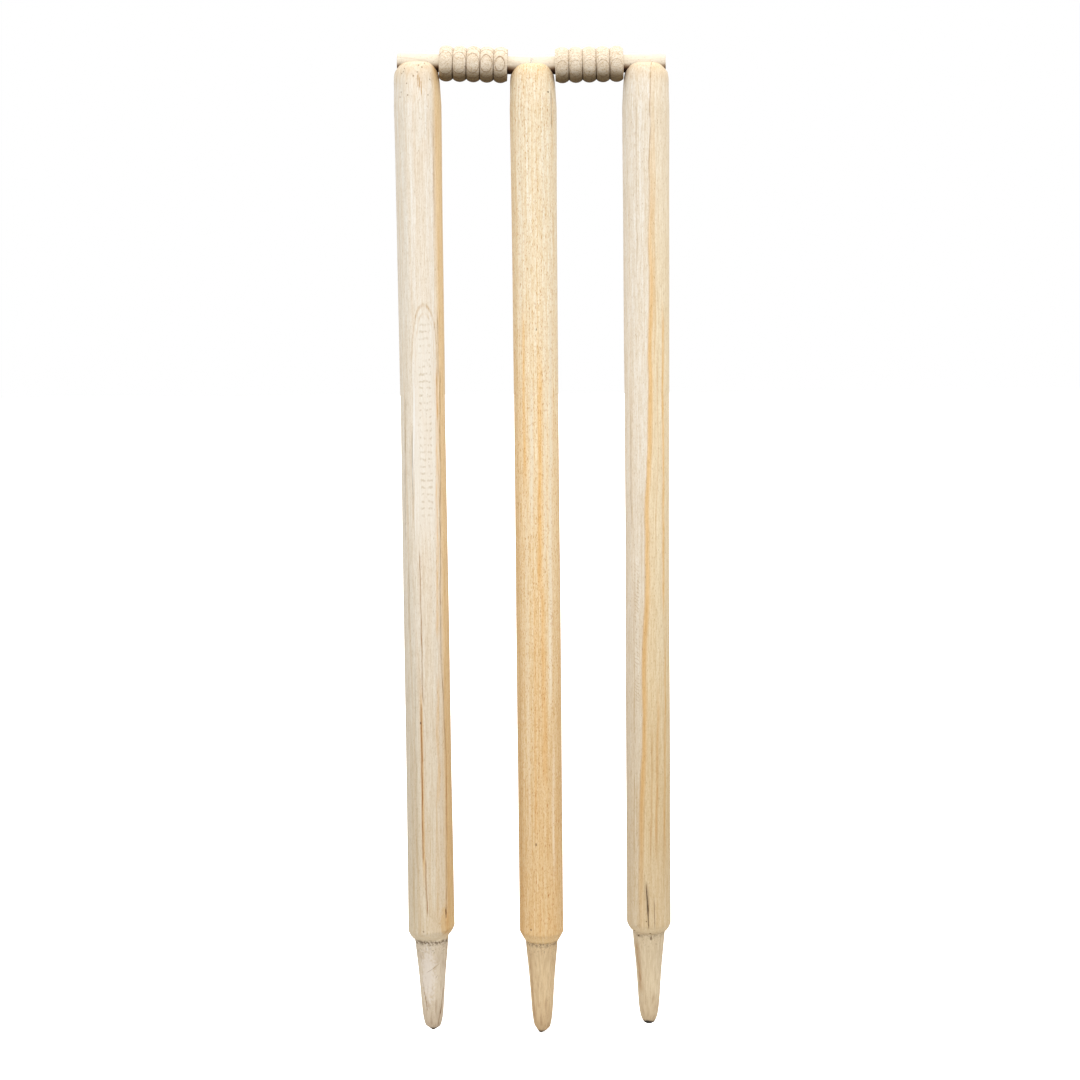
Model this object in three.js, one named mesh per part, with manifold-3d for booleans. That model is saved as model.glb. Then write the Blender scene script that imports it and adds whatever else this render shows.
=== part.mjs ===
// Cricket stumps: three turned wooden stumps standing in a row with two bails laid across their tops.
// Millimetres, +Z up the stumps, +X along the row. The origin is on the middle stump's axis at the
// ground line, which is the foot of its shaft where the driven spike begins.
import * as THREE from "three";
import Module from "manifold-3d";
import { mergeVertices } from "three/addons/utils/BufferGeometryUtils.js";

const wasm = await Module();
wasm.setup();

// The row. The outer stumps stand where their bail's outer end reaches past their axis by its overhang.
const left_bail_overhang = 16.1;
const right_bail_overhang = 16.3;
const left_lift = 2.5;
const right_foot_lift = 7.8;

// Each stump's shaft, from the shoulder above the spike to the foot of the crown, and the crown on top of it
const stump_radius = 19.05;
const shaft_length = 707.5;
const shoulder_height = 7.8;
const shoulder_bulge = 0.7;
const crown_height = 36;
const crown_taper = 2;
const crown_exponent = 5.5;

// Girth of each shaft at even steps up from the shoulder to the crown, as shares of stump_radius
const left_girth_shares = [1.055, 1.035, 1.015, 1.02, 1.005, 0.985, 1.0, 1.005, 1.03];
const middle_girth_shares = [0.995, 0.995, 1.0, 0.998, 0.99, 0.982, 0.98, 0.99, 1.015];
const right_girth_shares = [1.0, 0.99, 1.0, 0.975, 0.975, 0.982, 1.0, 1.005, 1.02];

// The tapered spike that goes into the ground
const spike_length = 83;
const left_neck_radius = 14.8;
const neck_radius = 14.2;
const spike_end_radius = 2.8;

// Outline of the spike below the shoulder: depth as a share of spike_length, girth as a share of the neck
const spike_outline_shares = [
  [0.985, 0.36], [0.93, 0.5], [0.87, 0.575], [0.77, 0.645], [0.55, 0.725],
  [0.33, 0.815], [0.12, 0.935], [0.05, 0.965],
];

// The round-bottomed grooves that hold the bails
const left_groove_depth = 9.2;
const middle_groove_depth = 9.6;
const right_groove_depth = 8.6;
const groove_clearance = 0.4;
const seat_gap = 0.3;
const cut_overrun = 5;

// The bails. Each spigot lies across a stump's head and is longer than the stump's radius by its reach.
const bail_length = 109.5;
const bail_joint_x = -1.15;
const bail_end_gap = 0.7;
const long_spigot_reach = 15.5;
const short_spigot_reach = 0.25;
const spigot_radius = 7.25;
const barrel_radius = 14.6;
const rib_root_radius = 9.5;
const rib_valley_radius = 12.6;
const rib_count = 5;

// Fineness of the round shapes
const stump_sides = 36;
const bail_sides = 30;
const crown_steps = 9;
const shoulder_steps = 3;
const rib_steps = 6;
const groove_steps = 16;

const groove_radius = spigot_radius + groove_clearance;
const long_spigot = stump_radius + long_spigot_reach;
const short_spigot = stump_radius + short_spigot_reach;

function closed_solid(geometry) {
  geometry.deleteAttribute("normal");
  geometry.deleteAttribute("uv");
  const merged = mergeVertices(geometry);
  const corners = merged.index.array;
  const faces = [];
  for (let i = 0; i < corners.length; i += 3) {
    const [a, b, c] = corners.slice(i, i + 3);
    if (a !== b && b !== c && c !== a) faces.push(a, b, c);
  }
  const vertProperties = Float32Array.from(merged.attributes.position.array);
  return new wasm.Manifold(new wasm.Mesh({ numProp: 3, vertProperties, triVerts: Uint32Array.from(faces) }));
}

function solid_geometry(solid) {
  const mesh = solid.getMesh();
  const geometry = new THREE.BufferGeometry();
  geometry.setAttribute("position", new THREE.BufferAttribute(mesh.vertProperties, mesh.numProp));
  geometry.setIndex(new THREE.BufferAttribute(mesh.triVerts, 1));
  geometry.computeVertexNormals();
  return geometry;
}

// Turned form about +Z from an outline of [radius, height] points
function turned_upright(outline) {
  const turned = new THREE.LatheGeometry(outline.map(([r, z]) => new THREE.Vector2(r, z)), stump_sides);
  return turned.rotateX(Math.PI / 2);
}

// Spike, from its blunt end up to the neck under the shoulder
function spike_geometry(neck) {
  const taper = spike_outline_shares.map(([depth_share, girth_share]) => (
    [neck * girth_share, -spike_length * depth_share]
  ));
  return turned_upright([
    [0, -spike_length],
    [spike_end_radius, -spike_length],
    ...taper,
    [neck, 0],
    [0, 0],
  ]);
}

// Shoulder, a chamfer that bulges a little between the neck and the shaft
function shoulder_outline(neck, foot_radius) {
  const points = [];
  for (let step = 1; step < shoulder_steps; step++) {
    const share = step / shoulder_steps;
    const radius = THREE.MathUtils.lerp(neck, foot_radius, share);
    points.push([radius + shoulder_bulge * Math.sin(Math.PI * share), shoulder_height * share]);
  }
  return points;
}

// Shaft, whose girth wanders a little as hand-fed turning leaves it
function shaft_geometry(neck, length, girth_shares) {
  const straight = length - shoulder_height;
  const last = girth_shares.length - 1;
  const sides = girth_shares.map((share, step) => [stump_radius * share, shoulder_height + straight * step / last]);
  return turned_upright([
    [0, 0],
    [neck, 0],
    ...shoulder_outline(neck, stump_radius * girth_shares[0]),
    ...sides,
    [0, length],
  ]);
}

// Crown, which draws in a little as it rises and then rounds over to close on the axis
function crown_outline(edge_radius) {
  const points = [];
  for (let step = 0; step < crown_steps; step++) {
    const turn = Math.PI / 2 * step / crown_steps;
    const rise_share = Math.sin(turn) ** (2 / crown_exponent);
    const radius = (edge_radius - crown_taper * rise_share) * Math.cos(turn) ** (2 / crown_exponent);
    points.push([radius, crown_height * rise_share]);
  }
  points.push([0, crown_height]);
  return points;
}

// Cutter for a groove that runs along X, straight-sided above its round bottom
function groove_cutter(bottom, top) {
  const shape = new THREE.Shape();
  shape.moveTo(groove_radius, groove_radius);
  shape.lineTo(groove_radius, top - bottom + cut_overrun);
  shape.lineTo(-groove_radius, top - bottom + cut_overrun);
  shape.lineTo(-groove_radius, groove_radius);
  shape.absarc(0, groove_radius, groove_radius, Math.PI, 2 * Math.PI, false);
  const length = 2 * (stump_radius + cut_overrun);
  const cutter = new THREE.ExtrudeGeometry(shape, { depth: length, bevelEnabled: false, curveSegments: groove_steps });
  cutter.translate(0, 0, -length / 2);
  cutter.rotateX(Math.PI / 2);
  cutter.rotateZ(Math.PI / 2);
  cutter.translate(0, 0, bottom);
  return cutter;
}

// Head, the crown with the bail groove cut across it, standing on its own foot
function head_geometry(edge_radius, groove_depth) {
  const crown = turned_upright([[0, 0], ...crown_outline(edge_radius)]);
  const cutter = groove_cutter(crown_height - groove_depth, crown_height);
  return solid_geometry(closed_solid(crown).subtract(closed_solid(cutter)));
}

// Barrel of rounded ribs, from the short spigot's end of the bail to the long one's
function barrel_outline() {
  const half_pitch = (bail_length - long_spigot - short_spigot) / rib_count / 2;
  const points = [];
  for (let rib = 0; rib < rib_count; rib++) {
    const centre = short_spigot + half_pitch * (2 * rib + 1);
    for (let step = 0; step <= rib_steps; step++) {
      const turn = Math.PI * step / rib_steps;
      const at_end = (rib === 0 && step === 0) || (rib === rib_count - 1 && step === rib_steps);
      const floor = at_end ? rib_root_radius : rib_valley_radius;
      if (step === 0 && rib > 0) continue;
      const rise = (barrel_radius - rib_root_radius) * Math.sin(turn);
      points.push([Math.max(rib_root_radius + rise, floor), centre - half_pitch * Math.cos(turn)]);
    }
  }
  return points;
}

// One bail along +X from the origin, which is the middle of its short spigot's end
function bail_geometry() {
  const outline = [
    [0, 0],
    [spigot_radius, 0],
    [spigot_radius, short_spigot],
    ...barrel_outline(),
    [spigot_radius, bail_length - long_spigot],
    [spigot_radius, bail_length],
    [0, bail_length],
  ];
  const turned = new THREE.LatheGeometry(outline.map(([r, x]) => new THREE.Vector2(r, x)), bail_sides);
  turned.rotateZ(-Math.PI / 2);
  return turned;
}

const materials = {
  left_stump: new THREE.MeshStandardMaterial({ color: 0xe6d6bf, roughness: 0.62, metalness: 0 }),
  middle_stump: new THREE.MeshStandardMaterial({ color: 0xe0c394, roughness: 0.62, metalness: 0 }),
  right_stump: new THREE.MeshStandardMaterial({ color: 0xe3cfab, roughness: 0.62, metalness: 0 }),
  left_bail: new THREE.MeshStandardMaterial({ color: 0xd9c8b2, roughness: 0.68, metalness: 0 }),
  right_bail: new THREE.MeshStandardMaterial({ color: 0xd9c8b2, roughness: 0.68, metalness: 0 }),
};

// A stump in its own frame, with its shoulder at the origin. It is one turned length of wood: its spike and
// its grooved head are solids of their own, seated face to face on the shaft.
function place_stump(name, x, foot, neck, length, girth_shares, groove_depth) {
  const spike = new THREE.Mesh(spike_geometry(neck), materials[name]);
  spike.name = `${name}_spike`;
  const shaft = new THREE.Mesh(shaft_geometry(neck, length, girth_shares), materials[name]);
  shaft.name = `${name}_shaft`;
  const head = new THREE.Mesh(head_geometry(stump_radius * girth_shares.at(-1), groove_depth), materials[name]);
  head.name = `${name}_head`;
  head.position.z = length;
  const stump = new THREE.Group();
  stump.add(spike, shaft, head);
  stump.position.set(x, 0, foot);
  return stump;
}

// A bail dips from the lip of the outer stump's groove to its inner end in the middle stump's groove
function place_bail(name, side, spacing, outer_seat, middle_seat) {
  const inner_end = bail_joint_x + side * bail_end_gap / 2;
  const outer_lip = side * (spacing - stump_radius);
  const tilt = Math.atan2(outer_seat - middle_seat, Math.abs(outer_lip - inner_end));
  const mesh = new THREE.Mesh(bail_geometry(), materials[name]);
  mesh.name = name;
  const holder = new THREE.Group();
  holder.add(mesh);
  holder.rotation.set(0, -tilt, side > 0 ? 0 : Math.PI, "ZYX");
  holder.position.set(inner_end, 0, middle_seat + spigot_radius + seat_gap);
  return holder;
}

const left_spacing = bail_length + bail_end_gap / 2 - bail_joint_x - left_bail_overhang;
const right_spacing = bail_length + bail_end_gap / 2 + bail_joint_x - right_bail_overhang;
const left_length = shaft_length;
const right_length = shaft_length - right_foot_lift;
const left_seat = left_lift + left_length + crown_height - left_groove_depth;
const middle_seat = shaft_length + crown_height - middle_groove_depth;
const right_seat = right_foot_lift + right_length + crown_height - right_groove_depth;

const cricket_stumps = new THREE.Group();
cricket_stumps.add(
  place_stump("middle_stump", 0, 0, neck_radius, shaft_length, middle_girth_shares, middle_groove_depth),
  place_stump(
    "left_stump", -left_spacing, left_lift, left_neck_radius, left_length, left_girth_shares, left_groove_depth,
  ),
  place_stump(
    "right_stump", right_spacing, right_foot_lift, neck_radius, right_length, right_girth_shares, right_groove_depth,
  ),
  place_bail("left_bail", -1, left_spacing, left_seat, middle_seat),
  place_bail("right_bail", 1, right_spacing, right_seat, middle_seat),
);

export default cricket_stumps;
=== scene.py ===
# Cricket stumps: three turned wooden stumps standing in a row, with two ribbed bails laid across their heads.
# Metres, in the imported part's frame: +X along the row to the right, +Z up, and the front faces -Y.
import math

import bmesh
import bpy
from mathutils import Matrix, Vector, noise


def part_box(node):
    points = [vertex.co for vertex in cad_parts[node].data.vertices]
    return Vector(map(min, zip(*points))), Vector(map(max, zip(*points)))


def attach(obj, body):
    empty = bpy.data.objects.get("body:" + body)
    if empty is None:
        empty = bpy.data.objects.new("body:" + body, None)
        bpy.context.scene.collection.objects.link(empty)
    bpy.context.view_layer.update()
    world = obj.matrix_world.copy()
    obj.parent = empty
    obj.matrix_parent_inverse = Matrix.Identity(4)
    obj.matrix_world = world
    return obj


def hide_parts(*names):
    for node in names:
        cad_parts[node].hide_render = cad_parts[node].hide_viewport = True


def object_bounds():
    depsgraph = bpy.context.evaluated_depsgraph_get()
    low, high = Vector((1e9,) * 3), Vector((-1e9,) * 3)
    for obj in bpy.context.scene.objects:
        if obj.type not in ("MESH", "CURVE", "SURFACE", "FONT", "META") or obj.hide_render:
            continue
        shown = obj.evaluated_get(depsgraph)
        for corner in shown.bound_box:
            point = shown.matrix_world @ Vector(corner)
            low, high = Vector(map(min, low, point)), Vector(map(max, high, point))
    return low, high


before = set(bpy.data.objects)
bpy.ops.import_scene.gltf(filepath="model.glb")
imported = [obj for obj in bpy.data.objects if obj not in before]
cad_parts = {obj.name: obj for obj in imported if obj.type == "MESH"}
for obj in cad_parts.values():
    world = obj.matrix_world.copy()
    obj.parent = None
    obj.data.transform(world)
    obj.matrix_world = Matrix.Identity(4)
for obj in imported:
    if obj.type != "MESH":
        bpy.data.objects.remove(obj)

cad_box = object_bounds()

MM = 0.001
TO_MM = 1000

# Turning
STUMP_SIDES = 96
RING_GAP = 7 * MM
SPIKE_RING_GAP = 2.5 * MM
RING_SLACK = 0.1 * MM
MERGE_DISTANCE = 0.001 * MM
EASE_ROUNDS = 3
CROWN_STEPS = 30
CROWN_HEIGHT = 36 * MM
CROWN_TAPER = 2 * MM
CROWN_EXPONENT = 5.5
SHOULDER_HEIGHT = 7.8 * MM
SHOULDER_STEPS = 12
WOBBLE = 0.22 * MM
WOBBLE_LENGTH = 55 * MM
WOBBLE_ROUND = 1.3
WOBBLE_AXIS_FADE = 7.65 * MM
SHARP_ANGLE = math.radians(38)

# The groove that the bails lie in
GROOVE_RADIUS = 7.65 * MM
GROOVE_DEPTH = {"left_stump": 9.2 * MM, "middle_stump": 9.6 * MM, "right_stump": 8.6 * MM}
GROOVE_SIDES = 20
GROOVE_LIP = 0.45 * MM
CUTTER_HALF_LENGTH = 30.6 * MM
CUT_OVERRUN = 5 * MM

# How much fuller each crown is on one side, the left one where it's negative
CROWN_SWELL = {"left_stump": -1.2 * MM, "middle_stump": -1.0 * MM, "right_stump": 1.2 * MM}
CROWN_SWELL_HEIGHT = 2.2

# The bails, from the inner end outwards
BAIL_SIDES = 72
SPIGOT_RADIUS = 7.25 * MM
SHORT_SPIGOT = 19.3 * MM
LONG_SPIGOT = 34.55 * MM
SPIGOT_EDGE = 0.5 * MM
BARREL_RADIUS = 14.6 * MM
RIB_VALLEY_RADIUS = 12.0 * MM
RIB_ROUNDING = 1.5
BARREL_INNER_EDGE = 13.0 * MM
BARREL_OUTER_EDGE = 11.6 * MM
RIB_COUNT = 5
RIB_STEPS = 14

# Each stump's own hand work at the shoulder: how round it is turned, how far it runs askew and sits high,
# and the ledge left outside the neck
SHOULDER_ROUNDNESS = {"left_stump": 0.4, "middle_stump": 0.05, "right_stump": 0.5}
SHOULDER_LEAN = {"left_stump": 0.12, "middle_stump": -0.02, "right_stump": -0.04}
SHOULDER_LIFT = {"left_stump": 1.0 * MM, "middle_stump": 0.3 * MM, "right_stump": 0.3 * MM}
SHOULDER_LEDGE = {"left_stump": 0.0, "middle_stump": 0.6 * MM, "right_stump": 0.0}
LEAN_REACH_UP = 30 * MM
LEAN_REACH_DOWN = 12 * MM

# Facets hand-cut on each spike's end: a point on each, in millimetres from the middle of the end, and the way
# it faces. The left spike's are cut all round.
CUT_TURNS = (0.2, 1.5, 2.7, 3.7, 4.6, 5.4)
CUT_REACH = 0.9
CUT_OUTWARD = 0.62
CUT_DOWNWARD = -0.78
SPIKE_CUTS = {
    "left_stump": [
        (Vector((math.cos(turn), math.sin(turn), 0)) * CUT_REACH,
         Vector((math.cos(turn) * CUT_OUTWARD, math.sin(turn) * CUT_OUTWARD, CUT_DOWNWARD)))
        for turn in CUT_TURNS
    ],
    "middle_stump": [((-1.6, 0.0, 0.2), (0.52, 0.0, -0.85)), ((-2.6, 0.0, 0.2), (-0.82, -0.1, -0.57))],
    "right_stump": [((-1.2, -5.1, 2.4), (-0.3, -0.72, -0.62)), ((3.4, 0.0, 0.5), (0.7, 0.3, -0.65))],
}

# A drying crack in the front of the right stump, just above its shoulder, measured from the stump's axis
CRACK_FOOT = Vector((-0.7, 0, 17.0)) * MM
CRACK_HEAD = Vector((-1.9, 0, 46.0)) * MM
CRACK_WIDTH = 1.1 * MM
CRACK_DEPTH = 1.8 * MM
CRACK_BLUNTNESS = 0.5
CRACK_CUTS = (-0.5, 0.0, 0.5)
CRACK_NEAR_SIDE = 5 * MM
CRACK_NEAR_END = 10.5 * MM
CRACK_LINE = 0.01 * MM


# Shapes

def add_object(name, data):
    made = bpy.data.objects.new(name, data)
    bpy.context.scene.collection.objects.link(made)
    return made


def mesh_of(name, shape):
    """The form as a mesh, which uses the form up."""
    mesh = bpy.data.meshes.new(name)
    shape.to_mesh(mesh)
    shape.free()
    return mesh


def new_piece(name, shape, body, material, replaced):
    """A finished piece of the visual model, riding on its body in place of the CAD nodes that it replaces."""
    mesh = mesh_of(name, shape)
    mesh.polygons.foreach_set("use_smooth", [True] * len(mesh.polygons))
    mesh.set_sharp_from_angle(angle=SHARP_ANGLE)
    mesh.materials.append(material)
    piece = add_object(name, mesh)
    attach(piece, body)
    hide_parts(*replaced)
    return piece


def axis_of(name):
    """X of a stump's own axis."""
    low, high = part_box(name + "_shaft")
    return (low.x + high.x) / 2


def cad_rings(node, axis_x):
    """Girth and height of each ring of a turned CAD node, from the bottom up."""
    girths = {}
    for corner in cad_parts[node].data.vertices:
        height = round(corner.co.z, 6)
        girth = math.hypot(corner.co.x - axis_x, corner.co.y)
        girths[height] = max(girth, girths.get(height, 0.0))
    return [(girths[height], height) for height in sorted(girths)]


def eased(outline):
    """The outline with its corners cut a few times, so that it runs smoothly and stays inside itself."""
    for _ in range(EASE_ROUNDS):
        cut = [outline[0]]
        for (r0, z0), (r1, z1) in zip(outline, outline[1:]):
            cut.append((0.75 * r0 + 0.25 * r1, 0.75 * z0 + 0.25 * z1))
            cut.append((0.25 * r0 + 0.75 * r1, 0.25 * z0 + 0.75 * z1))
        outline = cut + [outline[-1]]
    return outline


def with_rings(outline, gap):
    """The outline with rings added wherever two of them stand further apart than the gap."""
    filled = [outline[0]]
    for (r0, z0), (r1, z1) in zip(outline, outline[1:]):
        count = max(1, math.ceil(abs(z1 - z0) / gap))
        for step in range(1, count + 1):
            share = step / count
            filled.append((r0 + (r1 - r0) * share, z0 + (z1 - z0) * share))
    return filled


def shoulder_outline(neck, foot, bottom, top, roundness, ledge):
    """From the neck out to the foot of the shaft: a straight chamfer, a quarter round, or between the two."""
    points = []
    inner = neck + ledge
    for step in range(SHOULDER_STEPS + 1):
        share = step / SHOULDER_STEPS
        turn = share * math.pi / 2
        out = share + (math.sin(turn) - share) * roundness
        rise = share + (1 - math.cos(turn) - share) * roundness
        points.append((inner + (foot - inner) * out, bottom + (top - bottom) * rise))
    return points


def crown_outline(edge, bottom, top):
    """The crown draws in a little as it rises, and then rounds over to the axis."""
    points = []
    for step in range(1, CROWN_STEPS):
        turn = math.pi / 2 * step / CROWN_STEPS
        rise = math.sin(turn) ** (2 / CROWN_EXPONENT)
        radius = (edge - CROWN_TAPER * rise) * math.cos(turn) ** (2 / CROWN_EXPONENT)
        points.append((radius, bottom + (top - bottom) * rise))
    points.append((0.0, top))
    return points


def turned(outline, sides):
    """A closed form turned about +Z from an outline of radius and height that starts and ends on the axis."""
    shape = bmesh.new()
    corners = [shape.verts.new((radius, 0, height)) for radius, height in outline]
    edges = [shape.edges.new(pair) for pair in zip(corners, corners[1:])]
    bmesh.ops.spin(shape, geom=corners + edges, axis=(0, 0, 1), angle=math.tau, steps=sides, use_merge=True)
    bmesh.ops.remove_doubles(shape, verts=shape.verts, dist=MERGE_DISTANCE)
    bmesh.ops.recalc_face_normals(shape, faces=shape.faces)
    return shape


def wobble(shape, seed):
    """Takes a little off here and there, as hand-fed turning and sanding does."""
    for corner in shape.verts:
        radius = corner.co.xy.length
        if radius < MM:
            continue
        around = corner.co.xy / radius * WOBBLE_ROUND
        spot = Vector((around.x + seed, around.y, corner.co.z / WOBBLE_LENGTH))
        taken = WOBBLE * (1 + noise.noise(spot)) / 2 * min(1.0, radius / WOBBLE_AXIS_FADE)
        corner.co.xy *= 1 - taken / radius


def swell_crown(shape, name, crown_foot):
    """Leaves one side of the crown a little fuller than the other, as a crown rounded by hand has it."""
    for corner in shape.verts:
        rise = (corner.co.z - crown_foot) / CROWN_HEIGHT
        radius = corner.co.xy.length
        if rise > 0 and radius > MM:
            side = max(0.0, corner.co.x / radius * math.copysign(1, CROWN_SWELL[name]))
            fullness = math.sin(math.pi * min(1.0, rise) ** CROWN_SWELL_HEIGHT)
            corner.co.x += CROWN_SWELL[name] * side * fullness


def lean_shoulder(shape, name, bottom):
    """Sets the shoulder askew and a little high, fading out along the shaft and the neck."""
    top = bottom + SHOULDER_HEIGHT
    for corner in shape.verts:
        if corner.co.z > top:
            share = 1 - (corner.co.z - top) / LEAN_REACH_UP
        else:
            share = 1 - max(0.0, bottom - corner.co.z) / LEAN_REACH_DOWN
        corner.co.z += (SHOULDER_LIFT[name] + SHOULDER_LEAN[name] * corner.co.x) * max(0.0, share)


def cut_facet(shape, point, facing):
    """Slices the form flat at a point, leaving a closed facet that faces the given way."""
    everything = list(shape.verts) + list(shape.edges) + list(shape.faces)
    cut = bmesh.ops.bisect_plane(shape, geom=everything, plane_co=point, plane_no=facing, clear_outer=True)
    rim = [item for item in cut["geom_cut"] if isinstance(item, bmesh.types.BMEdge)]
    if rim:
        bmesh.ops.contextual_create(shape, geom=rim)
        bmesh.ops.recalc_face_normals(shape, faces=shape.faces)


def hand_cuts(name):
    """The facets on a spike's end, with each point in the frame's metres."""
    tip = Vector((0, 0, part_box(name + "_spike")[0].z))
    return [(Vector(point) * MM + tip, Vector(facing)) for point, facing in SPIKE_CUTS[name]]


def groove_cutter(floor, top):
    """A bar along X with a round underside, as the groove's shape."""
    shape = bmesh.new()
    centre = Vector((0, 0, floor + GROOVE_RADIUS))
    start = shape.verts.new((-CUTTER_HALF_LENGTH, -GROOVE_RADIUS, centre.z))
    bmesh.ops.spin(shape, geom=[start], cent=centre, axis=(1, 0, 0), angle=math.pi, steps=GROOVE_SIDES)
    ends = [corner for corner in shape.verts if len(corner.link_edges) == 1]
    raised = bmesh.ops.extrude_vert_indiv(shape, verts=ends)
    bmesh.ops.translate(shape, verts=raised["verts"], vec=(0, 0, top + CUT_OVERRUN - centre.z))
    shape.edges.new(raised["verts"])
    section = bmesh.ops.contextual_create(shape, geom=list(shape.edges))["faces"]
    bar = bmesh.ops.extrude_face_region(shape, geom=section)
    corners = [item for item in bar["geom"] if isinstance(item, bmesh.types.BMVert)]
    bmesh.ops.translate(shape, verts=corners, vec=(2 * CUTTER_HALF_LENGTH, 0, 0))
    bmesh.ops.recalc_face_normals(shape, faces=shape.faces)
    return shape


def carved(shape, cutter):
    """The form with the cutter's shape taken out of it."""
    objects = [add_object("carving", mesh_of("carving", form)) for form in (shape, cutter)]
    cut = objects[0].modifiers.new("groove", "BOOLEAN")
    cut.operation = "DIFFERENCE"
    cut.solver = "EXACT"
    cut.object = objects[1]
    result = bmesh.new()
    result.from_object(objects[0], bpy.context.evaluated_depsgraph_get())
    for made in objects:
        mesh = made.data
        bpy.data.objects.remove(made)
        bpy.data.meshes.remove(mesh)
    return result


def ease_groove_edges(shape, above):
    """Rounds the edges that the groove leaves on the crown."""
    edges = []
    for edge in shape.edges:
        if min(corner.co.z for corner in edge.verts) > above and len(edge.link_faces) == 2:
            if edge.calc_face_angle(0.0) > SHARP_ANGLE:
                edges.append(edge)
    bmesh.ops.bevel(shape, geom=edges, offset=GROOVE_LIP, offset_type="OFFSET", segments=2, profile=0.5,
                    affect="EDGES", clamp_overlap=True, material=-1)


def stump_shape(name, seed):
    """One turned length of wood: spike, shoulder, shaft and crown, before the groove and the hand cuts."""
    spike = cad_rings(name + "_spike", axis_of(name))
    shaft = cad_rings(name + "_shaft", axis_of(name))
    neck, bottom = spike[-1]
    above_shoulder = [ring for ring in shaft if ring[1] > bottom + SHOULDER_HEIGHT - RING_SLACK]
    foot, shoulder_top = above_shoulder[0]
    edge, crown_foot = shaft[-1]
    outline = [(0.0, spike[0][1])]
    outline += with_rings(eased(spike), SPIKE_RING_GAP)
    outline += shoulder_outline(
        neck, foot, bottom, shoulder_top, SHOULDER_ROUNDNESS[name], SHOULDER_LEDGE[name])
    outline += with_rings(eased(above_shoulder), RING_GAP)[1:]
    outline += crown_outline(edge, crown_foot, crown_foot + CROWN_HEIGHT)
    shape = turned(outline, STUMP_SIDES)
    wobble(shape, seed)
    swell_crown(shape, name, crown_foot)
    lean_shoulder(shape, name, bottom)
    return shape


def near_crack(shape):
    """The faces round the crack, with their edges and corners."""
    near = set()
    for face in shape.faces:
        centre = face.calc_center_median()
        beside = centre.y < 0 and abs(centre.x - CRACK_FOOT.x) < CRACK_NEAR_SIDE
        if beside and CRACK_FOOT.z - CRACK_NEAR_END < centre.z < CRACK_HEAD.z + CRACK_NEAR_END:
            near.update([face], face.edges, face.verts)
    return list(near)


def open_crack(shape):
    """Opens a narrow V along the crack's line."""
    run = CRACK_HEAD - CRACK_FOOT
    sideways = Vector((run.z, 0, -run.x)).normalized()
    for share in CRACK_CUTS:
        line = CRACK_FOOT + sideways * share * CRACK_WIDTH
        bmesh.ops.bisect_plane(shape, geom=near_crack(shape), plane_co=line, plane_no=sideways)
    for corner in shape.verts:
        share = (corner.co.z - CRACK_FOOT.z) / run.z
        on_line = abs((corner.co - CRACK_FOOT).dot(sideways)) < CRACK_LINE
        if 0 < share < 1 and corner.co.y < 0 and on_line:
            corner.co.y += CRACK_DEPTH * math.sin(math.pi * share) ** CRACK_BLUNTNESS


def add_stump(name, material, seed):
    crown_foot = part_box(name + "_shaft")[1].z
    shape = stump_shape(name, seed)
    for point, facing in hand_cuts(name):
        cut_facet(shape, point, facing)
    if name == "right_stump":
        open_crack(shape)
    crest = crown_foot + CROWN_HEIGHT
    shape = carved(shape, groove_cutter(crest - GROOVE_DEPTH[name], crest))
    ease_groove_edges(shape, crown_foot + MM)
    bmesh.ops.translate(shape, verts=shape.verts, vec=(axis_of(name), 0, 0))
    new_piece(name, shape, name, material, (name + "_spike", name + "_shaft", name + "_head"))


def bail_ends(name):
    """Middles of a CAD bail's inner and outer ends, and its length."""
    side = 1 if name == "right_bail" else -1
    corners = [corner.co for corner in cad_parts[name].data.vertices]
    corners.sort(key=lambda corner: corner.x * side)
    ends = []
    for last in (corners[0], corners[-1]):
        ring = [corner for corner in corners if abs(corner.x - last.x) < MM]
        ends.append(sum(ring, Vector()) / len(ring))
    return ends[0], ends[1], (ends[1] - ends[0]).length


def bail_matrix(name):
    """From a form turned about +Z, its inner end at the origin, to the bail's place in the grooves."""
    inner, outer, _ = bail_ends(name)
    along = (outer - inner).normalized()
    back = Vector((0, 1, 0)) if along.x > 0 else Vector((0, -1, 0))
    up = along.cross(back)
    turn = Matrix((back, up, along)).transposed().to_4x4()
    return Matrix.Translation(inner) @ turn


def barrel_outline(bail_length):
    """Rounded ribs that meet in narrow valleys, from the short spigot's end of the bail to the long one's."""
    half_pitch = (bail_length - LONG_SPIGOT - SHORT_SPIGOT) / RIB_COUNT / 2
    points = []
    for rib in range(RIB_COUNT):
        centre = SHORT_SPIGOT + half_pitch * (2 * rib + 1)
        for step in range(RIB_STEPS + 1):
            turn = math.pi * step / RIB_STEPS
            rise = (BARREL_RADIUS - RIB_VALLEY_RADIUS) * max(0.0, math.sin(turn)) ** RIB_ROUNDING
            if step > 0 or rib == 0:
                points.append((RIB_VALLEY_RADIUS + rise, centre - half_pitch * math.cos(turn)))
    inner_end = points[0][1]
    while points[0][0] < BARREL_INNER_EDGE:
        points.pop(0)
    points[-1] = (BARREL_OUTER_EDGE, points[-1][1])
    return [(BARREL_INNER_EDGE, inner_end), *points]


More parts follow.
